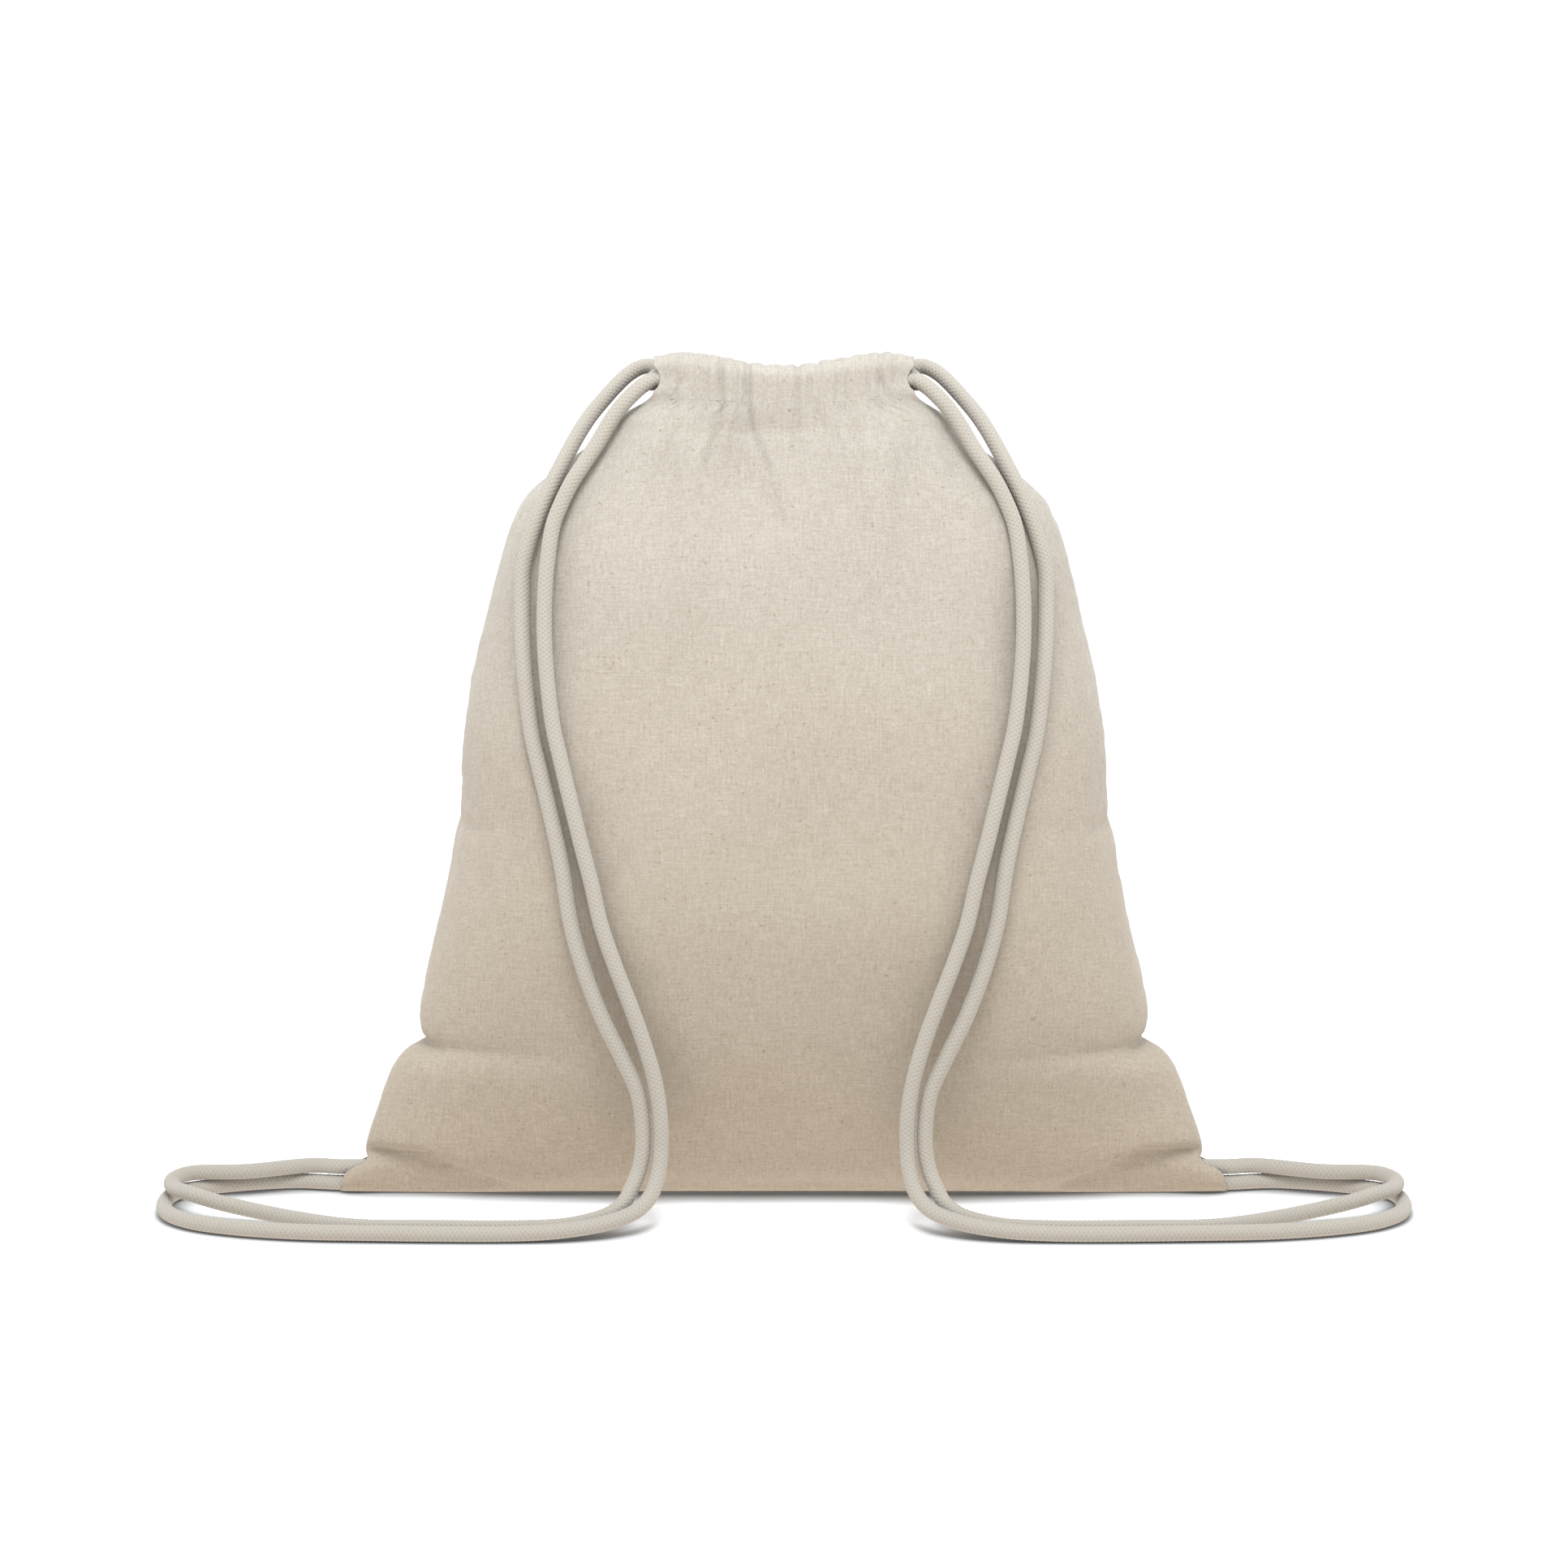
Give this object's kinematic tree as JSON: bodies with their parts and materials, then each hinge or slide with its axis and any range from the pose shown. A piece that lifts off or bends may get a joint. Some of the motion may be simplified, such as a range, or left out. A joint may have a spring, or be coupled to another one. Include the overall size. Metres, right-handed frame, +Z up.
{
  "type": "drawstring backpack",
  "caption": "Gathered cotton drawstring backpack with hemmed mouth and two doubled round cords that serve as shoulder straps.",
  "frame": {"origin": "on the ground under the middle of the bag's own box, without the free straps", "axes": "+Z up, the front with the straps faces -Y, +X to the right seen from the front"},
  "size_m": [0.509, 0.1724, 0.344],
  "materials": {
    "cotton_cloth": "matt unbleached plain-weave cotton with a fine speckle",
    "cotton_cord": "matt off-white braided cotton cord",
    "sewing_thread": "matt natural sewing thread"
  },
  "bodies": {
    "bag": {"front_panel": "cotton_cloth", "back_panel": "cotton_cloth", "left_side_seam": "cotton_cloth", "right_side_seam": "cotton_cloth", "bottom_seam": "cotton_cloth", "left_slit_tack": "sewing_thread", "right_slit_tack": "sewing_thread", "left_corner_tack": "sewing_thread", "right_corner_tack": "sewing_thread", "left_cord_turn": "cotton_cord", "left_inner_strand": "cotton_cord", "left_outer_strand": "cotton_cord", "left_inner_strand_end": "cotton_cord", "left_outer_strand_end": "cotton_cord", "right_cord_turn": "cotton_cord", "right_inner_strand": "cotton_cord", "right_outer_strand": "cotton_cord", "right_inner_strand_end": "cotton_cord", "right_outer_strand_end": "cotton_cord"},
    "front_lip": {"front_casing": "cotton_cloth", "front_hem_stitches": "sewing_thread", "left_cord_front_run": "cotton_cord", "right_cord_front_run": "cotton_cord"},
    "back_lip": {"back_casing": "cotton_cloth", "back_hem_stitches": "sewing_thread", "left_cord_back_run": "cotton_cord", "right_cord_back_run": "cotton_cord"}
  },
  "joints": [
    {"name": "front_lip_opens", "type": "hinge", "parent": "bag", "child": "front_lip", "pos_m": [0, -0.0402, 0.322], "axis": [1, 0, 0], "range_deg": [0, 30], "deforming": ["left_inner_strand", "right_inner_strand", "left_cord_turn", "right_cord_turn"]},
    {"name": "back_lip_opens", "type": "hinge", "parent": "bag", "child": "back_lip", "pos_m": [0, 0.0162, 0.322], "axis": [1, 0, 0], "range_deg": [-30, 0], "deforming": ["left_outer_strand", "right_outer_strand"]}
  ],
  "couplings": [
    {"joint": "back_lip_opens", "follows": "front_lip_opens", "ratio": -1}
  ]
}
